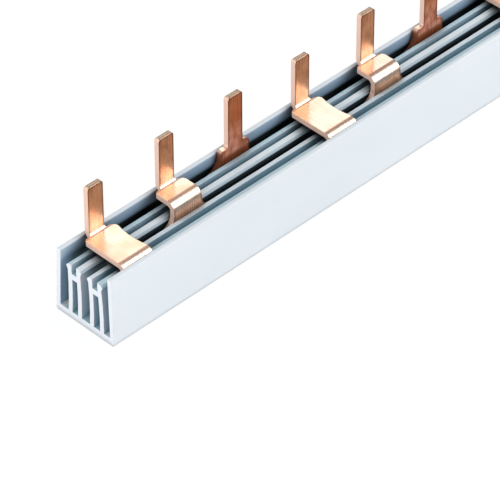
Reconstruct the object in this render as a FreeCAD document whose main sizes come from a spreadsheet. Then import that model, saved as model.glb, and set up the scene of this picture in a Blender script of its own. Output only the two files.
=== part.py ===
import FreeCAD, Part
import math
import os
import Sketcher

# Three-phase comb busbar: a ribbed plastic trunking, open at the top and at both ends,
# holds three stamped copper combs.  Their tongues rise in turn out of the three slots
# and end in one straight row of pins.
#
# Frame in mm: X runs along the trunking, Y from the tall front wall to the back wall,
# Z up.  The origin is at the middle of the underside.

SIZES = {
    # the row of pins
    "pitch": 17.8,
    "pin_count": 12,
    "phase_count": 3,
    "end_margin": 7.9,
    # trunking section
    "base_width": 15.6,
    "front_height": 15.85,
    "back_height": 15.2,
    "front_lean": 0.3,
    "back_lean": 0.75,
    "wall_thickness": 1.05,
    "floor_thickness": 1.7,
    "base_radius": 0.6,
    "edge_radius": 0.3,
    # ribs between the slots, counted from the front wall; each gap is to the strip beside it
    "rib_height": 13.2,
    "rib_thickness": 1.05,
    "rib_bow": 0.17,
    "first_foot_gap": 0.16,
    "first_head_gap": 0.525,
    "second_foot_gap": 0.575,
    "second_head_gap": 0.525,
    "third_foot_gap": 0.465,
    "third_head_gap": 0.475,
    "fourth_foot_gap": 0.295,
    "fourth_head_gap": 0.525,
    "head_slope": 0.15,
    "nose_drop": 0.6,
    "nose_depth": 0.8,
    "mouth_gap": 0.15,
    "web_drop": 2.1,
    "web_thickness": 1.3,
    # copper strip common to the three combs
    "strip_thickness": 1.15,
    "bar_drop": 2.2,
    "bar_end_gap": 2.0,
    "bend_radius": 0.75,
    "pin_width": 3.75,
    "tip_radius": 0.7,
    "tip_bevel": 0.2,
    # how far the tongues reach to each side of their pins, and their corners
    "front_near_side": 3.4,
    "front_far_side": 3.95,
    "middle_near_side": 3.4,
    "middle_far_side": 3.65,
    "back_near_side": 3.75,
    "back_far_side": 3.6,
    "hollow_radius": 15.0,
    "shoulder_gap": 0.4,
    "near_radius": 0.45,
    "far_radius": 1.2,
    "root_fillet": 0.45,
    # where each comb stands in the trunking
    "front_wall_gap": 0.065,
    "middle_offset": -0.175,
    "back_wall_gap": 0.1,
    # how far each comb's tongues flare at the foot, rise over the ribs and reach up
    "front_flare": 2.0,
    "middle_flare": 2.9,
    "middle_far_flare": 3.6,
    "back_flare": 4.0,
    "back_far_flare": 2.0,
    "front_plate_gap": 1.35,
    "middle_plate_gap": 2.2,
    "back_shoulder_rise": 2.7,
    "front_pin_rise": 11.05,
    "middle_pin_rise": 11.35,
    "back_pin_rise": 11.75,
}


# each rib with the comb beside it and the way its nose points, 1 being to the back
RIBS = [("first", "front", -1), ("second", "middle", 1), ("third", "middle", -1), ("fourth", "back", 1)]

LEFT, RIGHT = 1, -1
TINY = 0.001


class Size:
    """A length that carries its value and the sheet formula it comes from."""

    def __init__(self, value, text):
        self.value = value
        self.text = text

    def _join(self, other, sign, value):
        text = other.text if isinstance(other, Size) else str(other)
        return Size(value, "(" + self.text + " " + sign + " " + text + ")")

    def __add__(self, other):
        return self._join(other, "+", self.value + number(other))

    def __sub__(self, other):
        return self._join(other, "-", self.value - number(other))

    def __mul__(self, other):
        return self._join(other, "*", self.value * number(other))

    def __truediv__(self, other):
        return self._join(other, "/", self.value / number(other))

    def __neg__(self):
        return Size(-self.value, "(0 - " + self.text + ")")


def number(size):
    return size.value if isinstance(size, Size) else size


def write_sheet(doc):
    """Put the driving sizes in a sheet and hand them back by name."""
    sheet = doc.addObject("Spreadsheet::Sheet", "sizes")
    for row, (name, value) in enumerate(SIZES.items(), start=1):
        sheet.set("A%d" % row, name)
        sheet.set("B%d" % row, str(value))
        sheet.setAlias("B%d" % row, name)
    doc.recompute()
    return {name: Size(value, "sizes." + name) for name, value in SIZES.items()}


def add_sketch(body, name, plane, shift=None):
    """A sketch on one of the body's own planes, moved by (x, y, z) in that plane's axes."""
    sketch = body.newObject("Sketcher::SketchObject", name)
    origin_plane = next(f for f in body.Origin.OriginFeatures if f.Role == plane)
    sketch.AttachmentSupport = (origin_plane, "")
    sketch.MapMode = "FlatFace"
    for axis, size in zip("xyz", shift or ()):
        if size is not None:
            sketch.setExpression("AttachmentOffset.Base." + axis, size.text)
    return sketch


def arc_between(start, end, radius, turn):
    """The short arc from start to end, turning LEFT or RIGHT on the way."""
    chord = end - start
    rise = math.sqrt(max(radius * radius - chord.Length * chord.Length / 4, 0.0))
    left = FreeCAD.Vector(-chord.y, chord.x, 0).normalize()
    centre = (start + end) / 2 + left * (rise * turn)
    first, last = (start, end) if turn > 0 else (end, start)
    angles = [math.atan2(p.y - centre.y, p.x - centre.x) for p in (first, last)]
    circle = Part.Circle(centre, FreeCAD.Vector(0, 0, 1), radius)
    return Part.ArcOfCircle(circle, angles[0], angles[1])


def draw_loop(sketch, corners):
    """Closed outline.  Each corner is (x, y) or (x, y, radius, turn), the last two
    telling the arc that leads from it to the next corner."""
    points = [FreeCAD.Vector(number(c[0]), number(c[1]), 0) for c in corners]
    starts, ends = [], []
    for index, corner in enumerate(corners):
        start, end = points[index], points[(index + 1) % len(points)]
        if len(corner) == 2:
            side = sketch.addGeometry(Part.LineSegment(start, end), False)
            starts.append((side, 1))
            ends.append((side, 2))
            continue
        radius, turn = corner[2], corner[3]
        side = sketch.addGeometry(arc_between(start, end, radius.value, turn), False)
        starts.append((side, 1 if turn > 0 else 2))
        ends.append((side, 2 if turn > 0 else 1))
        bind(sketch, Sketcher.Constraint("Radius", side, radius.value), radius)
    for index, corner in enumerate(corners):
        sketch.addConstraint(Sketcher.Constraint("Coincident", *ends[index - 1], *starts[index]))
        for kind, size in (("DistanceX", corner[0]), ("DistanceY", corner[1])):
            place = Sketcher.Constraint(kind, -1, 1, *starts[index], number(size))
            bind(sketch, place, size)


def bind(sketch, constraint, size):
    index = sketch.addConstraint(constraint)
    if isinstance(size, Size):
        sketch.setExpression("Constraints[%d]" % index, size.text)


def add_pad(doc, body, sketch, name, length, midplane=False, reverse=False):
    doc.recompute()
    pad = body.newObject("PartDesign::Pad", name)
    pad.Profile = sketch
    pad.setExpression("Length", length.text)
    pad.Midplane = midplane
    pad.Reversed = reverse
    doc.recompute()
    return pad


def add_pocket(doc, body, sketch, name, midplane=False, reverse=False):
    doc.recompute()
    pocket = body.newObject("PartDesign::Pocket", name)
    pocket.Profile = sketch
    pocket.Type = "ThroughAll"
    pocket.Midplane = midplane
    pocket.Reversed = reverse
    doc.recompute()
    return pocket


def new_body(doc, name, length):
    body = doc.addObject("PartDesign::Body", name)
    body.Label = name
    body.setExpression("Placement.Base.x", (-length / 2).text)
    return body


def channel_outline(s):
    """Floor and two leaning walls, as one outline in the YZ plane."""
    half = s["base_width"] / 2
    front_top = s["front_lean"] - half
    back_top = half - s["back_lean"]
    front_slope = s["front_lean"] / s["front_height"]
    back_slope = s["back_lean"] / s["back_height"]
    floor = s["floor_thickness"]
    wall = s["wall_thickness"]
    return [
        (-half, 0),
        (half, 0),
        (back_top, s["back_height"]),
        (back_top - wall, s["back_height"]),
        (half - wall - back_slope * floor, floor),
        (wall - half + front_slope * floor, floor),
        (front_top + wall, s["front_height"]),
        (front_top, s["front_height"]),
    ]


def add_places(s):
    """Work out where each comb stands across the trunking, and its levels from the ribs'."""
    half = s["base_width"] / 2
    inset = s["wall_thickness"] + s["strip_thickness"] / 2
    s["front_comb_y"] = s["front_lean"] + inset + s["front_wall_gap"] - half
    s["middle_comb_y"] = s["middle_offset"]
    s["back_comb_y"] = half - s["back_lean"] - inset - s["back_wall_gap"]

    ribs = s["rib_height"]
    s["web_top"] = ribs - s["web_drop"]
    s["bar_top"] = ribs - s["bar_drop"]
    for place in ("front", "middle"):
        s[place + "_plate_top"] = ribs + s[place + "_plate_gap"] + s["strip_thickness"]
        s[place + "_pin_top"] = s[place + "_plate_top"] + s[place + "_pin_rise"]
    s["back_shoulder_top"] = ribs + s["back_shoulder_rise"]
    s["back_pin_top"] = s["back_shoulder_top"] + s["back_pin_rise"]


def rib_places(s, name, comb, side):
    """Foot, head and nose of a rib, measured from the near face of the strip beside it."""
    face = s[comb + "_comb_y"] - s["strip_thickness"] / 2 * side
    half = s["rib_thickness"] / 2
    foot = face - (s[name + "_foot_gap"] + half) * side
    head = face - (s[name + "_head_gap"] + half) * side
    return foot, head, face - s["mouth_gap"] * side


def rib_outline(s, name, comb, side):
    """One rib; both its faces bow to the front.  Its nose points at the strip beside it,
    which is behind the rib when side is 1 and in front of it when side is -1."""
    foot, head, tip = rib_places(s, name, comb, side)
    half = s["rib_thickness"] / 2
    floor = s["floor_thickness"]
    nose_tip = s["rib_height"] - s["nose_drop"]
    nose_root = nose_tip - s["nose_depth"]
    chord = nose_root - floor
    bow = s["rib_bow"]
    radius = chord * chord / (bow * 8) + bow / 2
    nosed, plain = half * side, half * -side
    return [
        (foot + nosed, floor, radius, RIGHT),
        (head + nosed, nose_root),
        (tip, nose_tip),
        (head + nosed, s["rib_height"] - s["head_slope"]),
        (head + plain, s["rib_height"]),
        (head + plain, nose_root, radius, LEFT),
        (foot + plain, floor),
    ]


def base_edges(s):
    half = s["base_width"] / 2
    return [(-half, 0), (half, 0)]


def wall_edges(s):
    """The four long edges along the tops of the walls."""
    outline = channel_outline(s)
    return outline[2:4] + outline[6:8]


def add_fillet(doc, body, base, name, radius, corners):
    """Round the long edges that pass through the given corners of the section."""
    names = []
    for index, edge in enumerate(base.Shape.Edges, start=1):
        ends = [vertex.Point for vertex in edge.Vertexes]
        along = abs(ends[0].x - ends[-1].x) > TINY
        at_corner = any(
            math.hypot(ends[0].y - number(y), ends[0].z - number(z)) < TINY for y, z in corners
        )
        if along and at_corner:
            names.append("Edge%d" % index)
    if len(names) != len(corners):
        raise RuntimeError(name + " did not find its edges")
    fillet = body.newObject("PartDesign::Fillet", name)
    fillet.Base = (base, names)
    fillet.setExpression("Radius", radius.text)
    doc.recompute()


def build_trunking(doc, s, length):
    body = new_body(doc, "trunking", length)
    channel = add_sketch(body, "channel_section", "YZ_Plane")
    draw_loop(channel, channel_outline(s))
    pad = add_pad(doc, body, channel, "channel", length)
    add_fillet(doc, body, pad, "base_edges", s["base_radius"], base_edges(s))
    add_fillet(doc, body, body.Tip, "wall_edges", s["edge_radius"], wall_edges(s))

    rib_sketch = add_sketch(body, "rib_section", "YZ_Plane")
    for rib in RIBS:
        draw_loop(rib_sketch, rib_outline(s, *rib))
    add_pad(doc, body, rib_sketch, "ribs", length)

    heads = [rib_places(s, *rib)[1] for rib in RIBS]
    web_sketch = add_sketch(body, "web_section", "YZ_Plane")
    low, high = s["web_top"] - s["web_thickness"], s["web_top"]
    for left, right in (heads[:2], heads[2:]):
        draw_loop(web_sketch, [(left, low), (right, low), (right, high), (left, high)])
    add_pad(doc, body, web_sketch, "webs", length)


def bar_outline(s, middle):
    half = s["strip_thickness"] / 2
    low, high = s["floor_thickness"], s["bar_top"]
    return [(middle - half, low), (middle + half, low), (middle + half, high), (middle - half, high)]


def foot_outline(s, sides, flare, far_flare):
    """Foot of a tongue in the XZ plane, flared where it grows out of the bar.  Both
    flares are alike when no far_flare is given."""
    near, far = sides
    low = s["bar_top"]
    corners = [(-near - flare, low, flare, LEFT), (-near, low + flare)]
    if far_flare is None:
        return corners + [(far, low + flare, flare, LEFT), (far + flare, low)]
    corners.append((far, low + flare))
    return corners + [(far, low + far_flare, far_flare, LEFT), (far + far_flare, low)]


def strip_outline(s, middle, foot_top, plate_top, pin_top):
    """Side view of a bent tongue: up, over the ribs to the back, and up into the pin."""
    half, inner = s["strip_thickness"] / 2, s["bend_radius"]
    thick, outer = s["strip_thickness"], s["bend_radius"] + s["strip_thickness"]
    front, pin_front, pin_back = middle - half, s["back_comb_y"] - half, s["back_comb_y"] + half
    under = plate_top - thick
    bevel = s["tip_bevel"]
    return [
        (front, foot_top),
        (middle + half, foot_top),
        (middle + half, plate_top - outer, inner, RIGHT),
        (front + outer, under),
        (pin_front - inner, under, outer, LEFT),
        (pin_back, plate_top + inner),
        (pin_back, pin_top - bevel),
        (pin_back - bevel, pin_top),
        (pin_front + bevel, pin_top),
        (pin_front, pin_top - bevel),
        (pin_front, plate_top + inner, inner, RIGHT),
        (pin_front - inner, plate_top),
        (front + outer, plate_top, outer, LEFT),
        (front, plate_top - outer),
    ]


def upright_outline(s, foot_top, pin_top):
    """Side view of a tongue that stands straight up out of its slot."""
    half, bevel = s["strip_thickness"] / 2, s["tip_bevel"]
    front, back = s["back_comb_y"] - half, s["back_comb_y"] + half
    return [
        (front, foot_top),
        (back, foot_top),
        (back, pin_top - bevel),
        (back - bevel, pin_top),
        (front + bevel, pin_top),
        (front, pin_top - bevel),
    ]


def side_cut(s, side, reach, edge, radius, hollow_start=None):
    """What is cut away beside a tongue, seen square to it, so that its shoulder ends at
    edge.  side is 1 at the far edge and -1 at the near one, and reach how far the tongue
    extends there.  Its edge is hollow from hollow_start on, where that is given."""
    pin, fillet = s["pin_width"] / 2, s["root_fillet"]
    outside = reach + fillet
    beyond = edge + s["back_pin_top"]
    corners = [
        (reach * side, edge - radius, radius, side * LEFT),
        ((reach - radius) * side, edge),
        ((pin + fillet) * side, edge, fillet, side * RIGHT),
        (pin * side, edge + fillet),
        (pin * side, beyond),
        (outside * side, beyond),
    ]
    if hollow_start is None:
        return corners + [(outside * side, edge - radius)]
    hollow = (reach * side, hollow_start, s["hollow_radius"], side * RIGHT)
    return [hollow] + corners + [(outside * side, hollow_start)]


def tip_cut(s, side, pin_top):
    """The waste outside one rounded corner of a pin's end."""
    pin, radius = s["pin_width"] / 2, s["tip_radius"]
    return [
        ((pin - radius) * side, pin_top, radius, side * RIGHT),
        (pin * side, pin_top - radius),
        ((pin + radius) * side, pin_top - radius),
        ((pin + radius) * side, pin_top + radius),
        ((pin - radius) * side, pin_top + radius),
    ]


def add_bar(doc, body, s, middle, length):
    """The straight bar of a comb, standing on the floor of its slot."""
    gap = s["bar_end_gap"]
    sketch = add_sketch(body, "bar_section", "YZ_Plane", (None, None, gap))
    draw_loop(sketch, bar_outline(s, middle))
    add_pad(doc, body, sketch, "bar", length - gap * 2)


def add_foot(doc, body, s, middle, centre, outline):
    front = -(middle - s["strip_thickness"] / 2)
    sketch = add_sketch(body, "foot_outline", "XZ_Plane", (centre, None, front))
    draw_loop(sketch, outline)
    return add_pad(doc, body, sketch, "foot", s["strip_thickness"], reverse=True)


def add_upright_cuts(doc, body, s, sides, centre):
    """Trim a tongue that stands straight up to its shoulders and pin, from the front."""
    edge = s["back_shoulder_top"]
    near, far = sides
    sketch = add_sketch(body, "side_outline", "XZ_Plane", (centre, None, None))
    draw_loop(sketch, side_cut(s, -1, near, edge, s["near_radius"]))
    draw_loop(sketch, side_cut(s, 1, far, edge, s["far_radius"]))
    return add_pocket(doc, body, sketch, "sides", midplane=True)


def add_plate_cuts(doc, body, s, sides, middle, centre):
    """Trim a tongue that lies over the ribs to its shoulders and pin, from above."""
    half = s["strip_thickness"] / 2
    edge = s["back_comb_y"] - half - s["shoulder_gap"]
    hollow_start = middle + half + s["bend_radius"]
    near, far = sides
    sketch = add_sketch(body, "side_outline", "XY_Plane", (centre, None, None))
    draw_loop(sketch, side_cut(s, -1, near, edge, s["near_radius"]))
    draw_loop(sketch, side_cut(s, 1, far, edge, s["far_radius"], hollow_start))
    return add_pocket(doc, body, sketch, "sides", reverse=True)


def add_tip_cuts(doc, body, s, centre, pin_top):
    sketch = add_sketch(body, "tip_outline", "XZ_Plane", (centre, None, None))
    for side in (-1, 1):
        draw_loop(sketch, tip_cut(s, side, pin_top))
    return add_pocket(doc, body, sketch, "tips", midplane=True)


def repeat_tongue(doc, body, s, features):
    """Every third pin belongs to the same comb."""
    count = s["pin_count"] / s["phase_count"]
    pattern = body.newObject("PartDesign::LinearPattern", "tongues")
    pattern.Originals = features
    x_axis = next(f for f in body.Origin.OriginFeatures if f.Role == "X_Axis")
    pattern.Direction = (x_axis, [""])
    pattern.setExpression("Length", (s["pitch"] * s["phase_count"] * (count - 1)).text)
    pattern.setExpression("Occurrences", count.text)
    body.Tip = pattern
    doc.recompute()


def trim_ends(doc, body, s, length, flare):
    """Cut the comb square at both ends, where a flared foot may run past its bar."""
    gap, low, high = s["bar_end_gap"], s["floor_thickness"], s["bar_top"] + flare
    sketch = add_sketch(body, "end_outline", "XZ_Plane")
    for left, right in ((0, gap), (length - gap, length)):
        draw_loop(sketch, [(left, low), (right, low), (right, high), (left, high)])
    add_pocket(doc, body, sketch, "ends", midplane=True)


def build_comb(doc, s, place, phase, length):
    """One copper comb.  phase counts its first pin from the near end, from 0."""
    body = new_body(doc, place + "_comb", length)
    centre = s["end_margin"] + s["pitch"] * phase
    middle, flare = s[place + "_comb_y"], s[place + "_flare"]
    pin_top, plate_top = s[place + "_pin_top"], s.get(place + "_plate_top")
    foot_top = s["bar_top"] + flare
    upright = plate_top is None
    sides = (s[place + "_near_side"], s[place + "_far_side"])
    add_bar(doc, body, s, middle, length)
    outline = foot_outline(s, sides, flare, s.get(place + "_far_flare"))
    foot = add_foot(doc, body, s, middle, centre, outline)

    sketch = add_sketch(body, "strip_outline", "YZ_Plane", (None, None, centre - sides[0]))
    if upright:
        draw_loop(sketch, upright_outline(s, foot_top, pin_top))
    else:
        draw_loop(sketch, strip_outline(s, middle, foot_top, plate_top, pin_top))
    strip = add_pad(doc, body, sketch, "strip", sides[0] + sides[1])
    if upright:
        cuts = add_upright_cuts(doc, body, s, sides, centre)
    else:
        cuts = add_plate_cuts(doc, body, s, sides, middle, centre)
    tips = add_tip_cuts(doc, body, s, centre, pin_top)
    repeat_tongue(doc, body, s, [foot, strip, cuts, tips])
    trim_ends(doc, body, s, length, flare)


def check_and_export(doc):
    for thing in doc.Objects:
        bad = [flag for flag in thing.State if flag in ("Invalid", "Error")]
        if bad:
            raise RuntimeError(thing.Name + " did not compute")
    os.makedirs("parts", exist_ok=True)
    for body in doc.findObjects("PartDesign::Body"):
        shape = body.Shape
        if shape.isNull() or not shape.isValid():
            raise RuntimeError(body.Label + " has no valid shape")
        if len(shape.Solids) != 1:
            raise RuntimeError(body.Label + " is not one solid")
        shape.exportStep("parts/" + body.Label + ".step")


def main():
    doc = FreeCAD.newDocument("comb_busbar")
    s = write_sheet(doc)
    add_places(s)
    length = s["pitch"] * (s["pin_count"] - 1) + s["end_margin"] * 2
    build_trunking(doc, s, length)
    for phase, place in enumerate(("front", "middle", "back")):
        build_comb(doc, s, place, phase, length)
    doc.recompute()
    check_and_export(doc)


main()
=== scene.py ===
import math

import bpy
from mathutils import Euler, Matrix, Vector


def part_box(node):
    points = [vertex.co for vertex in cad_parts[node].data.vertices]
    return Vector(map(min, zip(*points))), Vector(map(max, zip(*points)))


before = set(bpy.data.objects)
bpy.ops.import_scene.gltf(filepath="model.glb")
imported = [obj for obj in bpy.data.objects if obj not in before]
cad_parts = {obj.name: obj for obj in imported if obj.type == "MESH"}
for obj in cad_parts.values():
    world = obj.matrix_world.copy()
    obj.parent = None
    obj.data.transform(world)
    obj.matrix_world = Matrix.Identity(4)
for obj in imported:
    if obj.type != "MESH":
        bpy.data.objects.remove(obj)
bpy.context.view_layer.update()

# Looks of a comb busbar: pale extruded plastic trunking with sawn ends, and bright rolled
# copper combs with brushed faces and sheared edges.  Lengths are in metres, angles in degrees.

# camera
CAMERA_PLACE = (-0.45536, -0.396825, 0.469433)
CAMERA_AZIMUTH = 44.66
CAMERA_ELEVATION = 40.49
CAMERA_ROLL = 0.17
CAMERA_LENS = 276.8
SENSOR_WIDTH = 36.0

BLACK = (0.0, 0.0, 0.0)
SHELTER_SAMPLES = 12
EDGE_SAMPLES = 6
LEAST_OPENNESS = 0.001

# noises: cycles a metre along each axis, detail, roughness
EXTRUSION_LINES = ((3.0, 1400.0, 1400.0), 3.0)
CLOUDS = ((40.0, 90.0, 90.0), 2.0)
GRAIN = ((5000.0, 5000.0, 5000.0), 1.0)
SAW_MARKS = ((200.0, 700.0, 3500.0), 2.0)
STREAKS = ((5500.0, 45.0, 45.0), 4.0, 0.65)
STAIN = ((160.0, 160.0, 120.0), 3.0)
MOTTLE = ((600.0, 600.0, 300.0), 4.0, 0.6)
BURR = ((300.0, 2600.0, 900.0), 3.0)

# bumps: depth, strength
LINE_BUMP = (0.00002, 0.35)
GRAIN_BUMP = (0.000006, 0.3)
SAW_BUMP = (0.00004, 0.5)
STREAK_BUMP = (0.00003, 0.3)
BURR_BUMP = (0.00005, 0.4)

# edges: how far their rounding and their painted dark reflection reach, how far a normal has
# to turn to be on an edge, and how level it may be there for the edge to be an upright one
PLASTIC_ROUNDING = 0.00012
COPPER_ROUNDING = 0.00015
DARK_EDGE = 0.0008
DARK_EDGE_STRENGTH = 0.9
EDGE_TURN = (0.995, 0.95)
EDGE_UPRIGHT = (0.5, 0.2)

# kinds of face: how much of the normal lies along the axis where the kind begins and where
# it is full
SAWN_FACE = (0.8, 0.95)
TOP_FACE = (0.4, 0.8)
SIDE_FACE = (0.9, 0.6)
SHEARED_FACE = (0.3, 0.6)
END_FACE = (0.3, 0.6)
PLATE_FACE = (0.05, 0.35)
CREASE_BEGIN = (1.0, 0.998)
CREASE_FINISH = (0.94, 0.98)

# plastic
PLASTIC = (0.76, 0.80, 0.825)
PLASTIC_WORN = (0.73, 0.77, 0.80)
# the sawn ends: their own cut face, painted darker than the extruded faces as shade on the
# ends
PLASTIC_SAWN = (0.66, 0.685, 0.72)
WORN_CLOUDS = (0.35, 0.7)
PLASTIC_ROUGHNESS = (0.6, 1.4, 0.36, 0.5)
SAWN_ROUGHNESS = 0.25
PLASTIC_SPECULAR = (0.1, 0.7, 0.02, 0.5)
PLASTIC_IOR = 1.5
# painted shade along the bottom edges, a thin dark line: the heights where it begins and is
# full, its strength
BOTTOM_SHADE_LINE = (0.0011, 0.0003, 0.0, 0.3)
BOTTOM_SHADE_COLOUR = (0.0, 0.0, 0.02)

# painted shade: what is left of the plastic's colour inside the trunking, from the most
# sheltered places out, on upright faces and on the walls' and ribs' tops
SHELTER_REACH = 0.007
UPRIGHT_SHADES = [
    (0.05, (0.05, 0.08, 0.10)),
    (0.20, (0.42, 0.65, 0.74)),
    (0.37, (0.27, 0.43, 0.58)),
    (0.55, (0.34, 0.47, 0.62)),
    (0.75, (0.60, 0.73, 0.86)),
    (0.98, (0.62, 0.66, 0.73)),
    (1.00, (1.0, 1.0, 1.0)),
]
TOP_SHADES = [
    (0.20, (0.32, 0.56, 0.62)),
    (0.70, (0.72, 0.88, 0.92)),
    (0.90, (0.62, 0.80, 0.85)),
    (0.97, (0.68, 0.86, 0.92)),
    (1.00, (1.0, 1.0, 1.0)),
]
# the ribs' share across the trunking and by openness, and the painted light on them and on the
# rims
RIB_ZONE = (0.0056, 0.0052)
RIB_OPENNESS = (0.25, 0.45)
RIB_LIGHT = (0.58, 0.60, 0.65)
RIM_LIGHT = (0.92, 0.93, 0.94)
# painted shade in the slots of the three combs: where each lies across, and the levels where
# its dark begins and is full
SLOTS = [(-0.0058, 0.0126, 0.0118), (-0.0002, 0.0126, 0.0118), (0.0056, 0.0131, 0.0123)]
SLOT_HALF = 0.0013
SLOT_CORE = 0.8
SLOT_DARK = 0.03
SLOT_END_FADE = 0.012
# the painted shadow that the combs' plates leave on the plastic close by, and the level above
# which it lies
COMB_SHADOW_REACH = 0.006
COMB_SHADOW = (0.28, 0.88, 1.0, 0.0)
COMB_SHADOW_LEVELS = (0.0110, 0.0120)

# copper: pale and bright on the plates, duller and browner on the faces that stand, a split of
# painted light: one copper, lit on the plates and shaded on the standing faces
COPPER_PLATE = (0.95, 0.75, 0.59)
COPPER_WARM = (0.90, 0.52, 0.27)
COPPER_BEND_REFLECTION = (0.66, 0.38, 0.29)
COPPER_PIN = (0.70, 0.31, 0.145)
# painted reflection and light: warm low on the faces that stand, on the bent combs
COPPER_FOOT_REFLECTION = (0.90, 0.54, 0.35)
COPPER_CORAL = (0.98, 0.42, 0.29)
COPPER_TARNISH = (0.46, 0.10, 0.02)
COPPER_DARK = (0.24, 0.06, 0.02)
COPPER_SHEARED = (0.78, 0.54, 0.44)
COPPER_END = (0.76, 0.57, 0.42)
COPPER_DARK_EDGE_REFLECTION = (0.10, 0.022, 0.005)
TARNISH = {"front_comb": 0.08, "middle_comb": 0.08, "back_comb": 0.95}
LEAST_TARNISH = 0.7
SHEARED_COVER = 0.9
# heights where the warm foot of painted reflection ends, the ends of the pins and the dark of
# the tips begin, and the sheared sides and the faces darken in painted shade towards the ribs
LOW_HEIGHTS = (0.0175, 0.0215)
PIN_ENDS = (0.0253, 0.0258)
DARK_TIPS = (0.0245, 0.0280)
SHADED_FEET = (0.0164, 0.0150)
DARK_FEET = (0.0147, 0.0139)
# a noise's values where a mark begins and is full, and the mark's strength at each
TARNISH_RANGE = (0.35, 0.65)
FOOT_PATCHES = (0.38, 0.60, 0.3, 1.0)
DARK_MOTTLE = (0.48, 0.75, 0.0, 0.5)
TIP_MOTTLE = (0.35, 0.65, 0.2, 0.8)
DARK_STREAKS = (0.52, 0.75, 0.0, 0.3)
PLATE_STREAKS = (0.50, 0.78, 0.0, 0.25)
PLATE_PATCHES = (0.45, 0.70, 0.0, 0.5)
# shine is the share of light that copper reflects as a metal
PLATE_SHINE = 0.95
STANDING_SHINE = 0.5
SHEARED_SHINE = 0.35
TARNISH_DULLING = 0.4
COPPER_ROUGHNESS = (0.7, 1.3, 0.2, 0.36)
SHEARED_ROUGHNESS = 0.15
END_ROUGHNESS = 0.3
COPPER_SPECULAR = 0.3
COPPER_COAT = 0.15
COAT_ROUGHNESS = 0.25
COAT_IOR = 1.45

# floor and surroundings
FLOOR_COLOUR = (0.93, 0.93, 0.93)
FLOOR_SIZE = 6.0
FLOOR_GAP = 0.00002
FLOOR_GLOW = 0.85
FLOOR_WHITE = 1.05
WORLD_COLOUR = (0.90, 0.95, 1.0)
WORLD_LIGHT = 0.42

# lamps: name, direction from the object, distance, width, height, brightness
LAMPS = [
    ("left_softbox", (-0.93, -0.25, 0.25), 0.8, 0.5, 0.5, 4.0),
    ("far_left_softbox", (-0.75, 0.54, 0.38), 0.8, 0.7, 0.5, 2.0),
    ("back_softbox", (0.37, 0.625, 0.685), 0.8, 0.50, 0.40, 1.35),
    ("right_softbox", (0.545, -0.60, 0.59), 0.8, 0.50, 0.70, 3.5),
]


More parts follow.
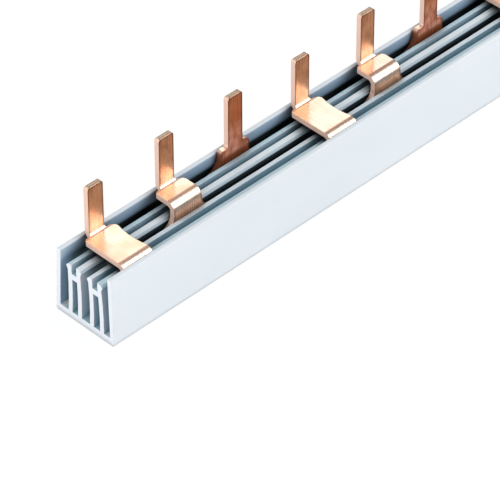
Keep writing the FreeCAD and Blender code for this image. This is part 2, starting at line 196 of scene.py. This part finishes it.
class Nodes:
    """Short calls for building one node tree."""

    def __init__(self, tree):
        self.tree = tree
        self.tree.nodes.clear()

    def add(self, kind, inputs=None, **settings):
        node = self.tree.nodes.new(kind)
        for name, value in settings.items():
            setattr(node, name, value)
        for name, value in (inputs or {}).items():
            self.feed(node.inputs[name], value)
        return node

    def feed(self, socket, value):
        if isinstance(value, bpy.types.NodeSocket):
            self.tree.links.new(value, socket)
        elif isinstance(value, tuple) and len(value) == 3 and socket.type == "RGBA":
            socket.default_value = (*value, 1.0)
        else:
            socket.default_value = value

    def place(self):
        """Object coordinates, which are metres from the middle of the part's footprint."""
        return self.add("ShaderNodeTexCoord").outputs["Object"]

    def split(self, vector):
        return self.add("ShaderNodeSeparateXYZ", {"Vector": vector}).outputs

    def noise(self, scale, detail, roughness=0.5):
        stretched = self.add("ShaderNodeMapping", {"Vector": self.place(), "Scale": scale})
        inputs = {
            "Vector": stretched.outputs["Vector"], "Scale": 1.0,
            "Detail": detail, "Roughness": roughness,
        }
        return self.add("ShaderNodeTexNoise", inputs).outputs["Fac"]

    def remap(self, value, low, high, out_low=0.0, out_high=1.0):
        inputs = {
            "Value": value, "From Min": low, "From Max": high,
            "To Min": out_low, "To Max": out_high,
        }
        return self.add("ShaderNodeMapRange", inputs).outputs["Result"]

    def mix(self, amount, first, second, blend_type="MIX"):
        node = self.add("ShaderNodeMix", data_type="RGBA", blend_type=blend_type)
        self.feed(node.inputs[0], amount)
        self.feed(node.inputs[6], first)
        self.feed(node.inputs[7], second)
        return node.outputs[2]

    def tint(self, colour, shade):
        return self.mix(1.0, colour, shade, "MULTIPLY")

    def ramp(self, value, stops):
        """A colour read off between stops of (position, colour)."""
        node = self.add("ShaderNodeValToRGB", {"Fac": value})
        while len(node.color_ramp.elements) < len(stops):
            node.color_ramp.elements.new(1.0)
        for element, (position, colour) in zip(node.color_ramp.elements, stops):
            element.position = position
            element.color = (*colour, 1.0)
        return node.outputs["Color"]

    def math(self, operation, first, second=0.0):
        node = self.add("ShaderNodeMath", operation=operation)
        self.feed(node.inputs[0], first)
        self.feed(node.inputs[1], second)
        return node.outputs[0]

    def total(self, first, second):
        return self.math("ADD", first, second)

    def product(self, first, *others):
        for other in others:
            first = self.math("MULTIPLY", first, other)
        return first

    def opposite(self, value):
        return self.math("SUBTRACT", 1.0, value)

    def normal(self, axis):
        return self.split(self.add("ShaderNodeNewGeometry").outputs["Normal"])[axis]

    def facing(self, axis, low, high):
        """1 where the surface faces along the axis, either way, and 0 where it doesn't."""
        return self.remap(self.math("ABSOLUTE", self.normal(axis)), low, high)

    def openness(self, reach, own_shape_only=False):
        """1 in the open, and less where surfaces within reach stand in the way of light."""
        node = self.add(
            "ShaderNodeAmbientOcclusion", {"Distance": reach},
            samples=SHELTER_SAMPLES, only_local=own_shape_only,
        )
        return node.outputs["AO"]

    def bump(self, height, depth, strength, normal):
        inputs = {"Height": height, "Distance": depth, "Strength": strength, "Normal": normal}
        return self.add("ShaderNodeBump", inputs).outputs["Normal"]

    def rounded_edges(self, radius):
        node = self.add("ShaderNodeBevel", {"Radius": radius}, samples=EDGE_SAMPLES)
        return node.outputs["Normal"]

    def edges(self, radius, level_too):
        """1 along the edges that stand upright and fading out over the radius; where level_too
        is 1, along every edge."""
        rounded = self.rounded_edges(radius)
        normal = self.add("ShaderNodeNewGeometry").outputs["True Normal"]
        dot = self.add(
            "ShaderNodeVectorMath", {0: rounded, 1: normal}, operation="DOT_PRODUCT",
        )
        edge = self.remap(dot.outputs["Value"], *EDGE_TURN)
        height = self.math("ABSOLUTE", self.split(rounded)["Z"])
        upright = self.remap(height, *EDGE_UPRIGHT)
        return self.product(edge, self.math("MAXIMUM", upright, level_too))


def new_material(name):
    material = bpy.data.materials.new(name)
    material.use_nodes = True
    return material, Nodes(material.node_tree)


def close_material(nodes, inputs):
    shader = nodes.add("ShaderNodeBsdfPrincipled", inputs)
    nodes.add("ShaderNodeOutputMaterial", {"Surface": shader.outputs["BSDF"]})


def blend_shaders(nodes, amount, first, second):
    blend = nodes.add("ShaderNodeMixShader")
    for socket, value in zip(blend.inputs, (amount, first, second)):
        nodes.feed(socket, value)
    return blend.outputs[0]


def slot_shade_mask(nodes):
    """Painted shade: nearly 1 deep in the three slots, fading out at their mouths and at both
    open ends.
    """
    place = nodes.split(nodes.place())
    inside = 0.0
    for middle, begin, full in SLOTS:
        distance = nodes.math("ABSOLUTE", nodes.math("SUBTRACT", place["Y"], middle))
        across = nodes.remap(distance, SLOT_HALF, SLOT_HALF * SLOT_CORE)
        depth = nodes.remap(place["Z"], begin, full, 0.0, 1.0 - SLOT_DARK)
        inside = nodes.math("MAXIMUM", inside, nodes.product(across, depth))
    along = nodes.math("ABSOLUTE", place["X"])
    half_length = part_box("trunking")[1].x
    return nodes.product(inside, nodes.remap(along, half_length, half_length - SLOT_END_FADE))


def sheltered_shade(nodes, openness, sawn):
    """Painted shade: what is left of the plastic's colour inside the trunking."""
    across = nodes.math("ABSOLUTE", nodes.split(nodes.place())["Y"])
    zone = nodes.remap(across, *RIB_ZONE)
    ribs = nodes.product(zone, nodes.remap(openness, *RIB_OPENNESS), nodes.opposite(sawn))
    upright = nodes.mix(ribs, nodes.ramp(openness, UPRIGHT_SHADES), RIB_LIGHT)
    top = nodes.mix(zone, RIM_LIGHT, nodes.ramp(openness, TOP_SHADES))
    return nodes.mix(nodes.facing("Z", *TOP_FACE), upright, top)


def near_combs(nodes, openness):
    """1 where the combs stand in the way of light much more than the trunking does."""
    own = nodes.total(openness, LEAST_OPENNESS)
    ratio = nodes.math("DIVIDE", nodes.openness(COMB_SHADOW_REACH), own)
    height = nodes.split(nodes.place())["Z"]
    return nodes.product(
        nodes.remap(ratio, *COMB_SHADOW), nodes.remap(height, *COMB_SHADOW_LEVELS),
    )


def make_plastic():
    """Extruded plastic: faint lines along the length, and a sawn face at each end, with
    painted shade inside the trunking, beside the combs' plates and along the bottom edges.
    """
    material, nodes = new_material("trunking_plastic")
    lines = nodes.noise(*EXTRUSION_LINES)
    clouds = nodes.noise(*CLOUDS)
    sawn = nodes.facing("X", *SAWN_FACE)
    openness = nodes.openness(SHELTER_REACH, own_shape_only=True)
    slots = slot_shade_mask(nodes)
    height = nodes.split(nodes.place())["Z"]
    bottom = nodes.product(nodes.remap(height, *BOTTOM_SHADE_LINE), nodes.facing("Z", *SIDE_FACE))

    colour = nodes.mix(nodes.remap(clouds, *WORN_CLOUDS), PLASTIC, PLASTIC_WORN)
    # the sawn ends' own tone, painted darker as shade on the end faces
    colour = nodes.mix(sawn, colour, PLASTIC_SAWN)
    # painted shade inside the trunking, darker where it is more sheltered
    colour = nodes.tint(colour, sheltered_shade(nodes, openness, sawn))
    # painted shadow of the combs' plates on the plastic close by
    colour = nodes.mix(near_combs(nodes, openness), colour, BLACK)
    # painted shade: black deep in the slots
    colour = nodes.mix(slots, colour, BLACK)
    # painted shade: a thin dark line along the bottom edges
    colour = nodes.mix(bottom, colour, BOTTOM_SHADE_COLOUR)

    roughness = nodes.remap(nodes.total(lines, clouds), *PLASTIC_ROUGHNESS)
    roughness = nodes.total(roughness, nodes.product(sawn, SAWN_ROUGHNESS))
    specular = nodes.remap(nodes.math("SUBTRACT", openness, slots), *PLASTIC_SPECULAR)
    normal = nodes.rounded_edges(PLASTIC_ROUNDING)
    normal = nodes.bump(lines, *LINE_BUMP, normal)
    normal = nodes.bump(nodes.noise(*GRAIN), *GRAIN_BUMP, normal)
    normal = nodes.bump(nodes.product(nodes.noise(*SAW_MARKS), sawn), *SAW_BUMP, normal)
    close_material(nodes, {
        "Base Color": colour, "Roughness": roughness, "Normal": normal,
        "IOR": PLASTIC_IOR, "Specular IOR Level": specular,
    })
    return material


def standing_colour(nodes, tarnish, height, streaks, stain):
    """The faces that stand: warm at the foot, on the bent combs a painted reflection of their
    plates, browner above, stained, dark towards the tips, and in painted shade towards the
    ribs."""
    mottle = nodes.noise(*MOTTLE)
    above_foot = nodes.remap(height, *LOW_HEIGHTS)
    # the warm foot: painted reflection of the plates on the bent combs, coral on the tarnished
    # one
    low_colour = tuple(Vector(COPPER_FOOT_REFLECTION).lerp(Vector(COPPER_CORAL), tarnish))
    colour = nodes.mix(above_foot, low_colour, COPPER_PIN)
    patchy = nodes.math("MAXIMUM", above_foot, nodes.remap(mottle, *FOOT_PATCHES))
    stained = nodes.remap(stain, *TARNISH_RANGE, tarnish * LEAST_TARNISH, tarnish)
    colour = nodes.mix(nodes.product(stained, patchy), colour, COPPER_TARNISH)
    # the last darkening, down towards the ribs, is painted shade
    darkenings = (
        nodes.remap(mottle, *DARK_MOTTLE),
        nodes.product(nodes.remap(height, *DARK_TIPS), nodes.remap(mottle, *TIP_MOTTLE)),
        nodes.remap(streaks, *DARK_STREAKS),
        nodes.remap(height, *DARK_FEET, 0.0, tarnish),
    )
    for amount in darkenings:
        colour = nodes.mix(amount, colour, COPPER_DARK)
    return colour


def plate_colour(nodes, streaks, stain):
    """The faces that lie: painted pale as lit, streaked, with warm patches, and a darker band
    of painted reflection where a bend begins."""
    colour = nodes.mix(nodes.remap(streaks, *PLATE_STREAKS), COPPER_PLATE, COPPER_PIN)
    colour = nodes.mix(nodes.remap(stain, *PLATE_PATCHES), colour, COPPER_WARM)
    # painted reflection: a darker band where a bend begins
    crease = nodes.product(nodes.facing("Z", *CREASE_BEGIN), nodes.facing("Z", *CREASE_FINISH))
    return nodes.mix(crease, colour, COPPER_BEND_REFLECTION)


def make_copper(name, tarnish):
    """Rolled copper: brushed along the tongues, stained, pale and rough on its sheared sides,
    and dark along the upright edges in painted reflection."""
    material, nodes = new_material(name)
    streaks = nodes.noise(*STREAKS)
    stain = nodes.noise(*STAIN)
    sheared = nodes.facing("X", *SHEARED_FACE)
    level = nodes.remap(nodes.normal("Z"), *PLATE_FACE)
    height = nodes.split(nodes.place())["Z"]
    tip = nodes.remap(height, *PIN_ENDS)
    end = nodes.product(tip, nodes.facing("Z", *END_FACE))
    edge = nodes.product(nodes.edges(DARK_EDGE, tip), nodes.opposite(sheared))
    plain = nodes.opposite(edge)

    standing = standing_colour(nodes, tarnish, height, streaks, stain)
    # painted light: level faces take the pale plate colour, standing faces the browner one
    colour = nodes.mix(level, standing, plate_colour(nodes, streaks, stain))
    colour = nodes.mix(nodes.product(sheared, SHEARED_COVER), colour, COPPER_SHEARED)
    # painted shade: the sheared sides darken down towards the ribs, as far as the comb is
    # tarnished
    foot = nodes.remap(height, *SHADED_FEET, 0.0, tarnish)
    colour = nodes.mix(nodes.product(sheared, foot), colour, COPPER_DARK)
    colour = nodes.mix(end, colour, COPPER_END)
    # painted reflection: dark along the edges, where metal, specular and coat are taken away
    # too
    colour = nodes.mix(nodes.product(edge, DARK_EDGE_STRENGTH), colour, COPPER_DARK_EDGE_REFLECTION)

    standing_shine = STANDING_SHINE * (1.0 - TARNISH_DULLING * tarnish)
    shine = nodes.remap(level, 0.0, 1.0, standing_shine, PLATE_SHINE)
    dulling = nodes.remap(sheared, 0.0, 1.0, 1.0, SHEARED_SHINE / STANDING_SHINE)
    shine = nodes.product(shine, dulling)
    roughness = nodes.remap(nodes.total(streaks, stain), *COPPER_ROUGHNESS)
    roughness = nodes.total(roughness, nodes.product(sheared, SHEARED_ROUGHNESS))
    roughness = nodes.total(roughness, nodes.product(end, END_ROUGHNESS))
    normal = nodes.rounded_edges(COPPER_ROUNDING)
    normal = nodes.bump(streaks, *STREAK_BUMP, normal)
    normal = nodes.bump(nodes.product(nodes.noise(*BURR), sheared), *BURR_BUMP, normal)
    close_material(nodes, {
        "Base Color": colour, "Roughness": roughness, "Normal": normal,
        "Metallic": nodes.product(plain, shine),
        "Specular IOR Level": nodes.product(plain, COPPER_SPECULAR),
        "Coat Weight": nodes.product(plain, COPPER_COAT),
        "Coat Roughness": COAT_ROUGHNESS, "Coat IOR": COAT_IOR,
    })
    return material


def dress(name, material):
    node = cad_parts[name]
    node.data.materials.clear()
    node.data.materials.append(material)


def make_floor():
    """A white floor that looks white to the camera and keeps a faint shadow.  It lies a hair
    below the part, so that the two share no plane."""
    half = FLOOR_SIZE / 2
    corners = [(-half, -half), (half, -half), (half, half), (-half, half)]
    mesh = bpy.data.meshes.new("floor")
    mesh.from_pydata([(x, y, -FLOOR_GAP) for x, y in corners], [], [(0, 1, 2, 3)])
    floor = bpy.data.objects.new("floor", mesh)
    bpy.context.scene.collection.objects.link(floor)

    material, nodes = new_material("floor_white")
    paths = nodes.add("ShaderNodeLightPath").outputs
    seen = nodes.math("MAXIMUM", paths["Is Camera Ray"], paths["Is Transmission Ray"])
    seen = nodes.math("MAXIMUM", seen, paths["Is Glossy Ray"])
    matt = nodes.add("ShaderNodeBsdfDiffuse", {"Color": FLOOR_COLOUR}).outputs["BSDF"]
    glow = nodes.add("ShaderNodeEmission", {"Strength": FLOOR_WHITE}).outputs["Emission"]
    surface = blend_shaders(nodes, nodes.product(seen, FLOOR_GLOW), matt, glow)
    nodes.add("ShaderNodeOutputMaterial", {"Surface": surface})
    mesh.materials.append(material)


def make_world():
    """Even pale light all round, plain white where the camera sees it."""
    world = bpy.data.worlds.new("studio")
    bpy.context.scene.world = world
    world.use_nodes = True
    nodes = Nodes(world.node_tree)
    seen = nodes.add("ShaderNodeLightPath").outputs["Is Camera Ray"]
    light = nodes.add("ShaderNodeBackground", {"Color": WORLD_COLOUR, "Strength": WORLD_LIGHT})
    white = nodes.add("ShaderNodeBackground", {"Color": (1.0, 1.0, 1.0), "Strength": 1.0})
    surface = blend_shaders(nodes, seen, light.outputs[0], white.outputs[0])
    nodes.add("ShaderNodeOutputWorld", {"Surface": surface})


def add_lamp(name, direction, distance, width, height, brightness, target):
    """A softbox of even brightness, where 1 is white, turned to the object."""
    data = bpy.data.lights.new(name, "AREA")
    data.shape = "RECTANGLE"
    data.size = width
    data.size_y = height
    data.energy = brightness * math.pi * width * height
    lamp = bpy.data.objects.new(name, data)
    outward = Vector(direction).normalized()
    lamp.location = target + outward * distance
    lamp.rotation_euler = outward.to_track_quat("Z", "Y").to_euler()
    bpy.context.scene.collection.objects.link(lamp)


def make_camera():
    data = bpy.data.cameras.new("camera")
    data.sensor_width = SENSOR_WIDTH
    data.lens = CAMERA_LENS
    camera = bpy.data.objects.new("camera", data)
    turn = Euler((0, 0, math.radians(-CAMERA_AZIMUTH))).to_matrix()
    tip = Euler((math.radians(90 - CAMERA_ELEVATION), 0, 0)).to_matrix()
    roll = Euler((0, 0, math.radians(-CAMERA_ROLL))).to_matrix()
    camera.location = CAMERA_PLACE
    camera.rotation_euler = (turn @ tip @ roll).to_euler()
    bpy.context.scene.collection.objects.link(camera)
    bpy.context.scene.camera = camera


dress("trunking", make_plastic())
for comb, tarnish in TARNISH.items():
    dress(comb, make_copper(comb + "_copper", tarnish))

make_floor()
make_world()
trunking_low, trunking_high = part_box("trunking")
near_end = Vector((trunking_low.x / 2, 0, trunking_high.z))
for lamp in LAMPS:
    add_lamp(*lamp, near_end)
make_camera()
bpy.context.scene.view_settings.view_transform = "Standard"
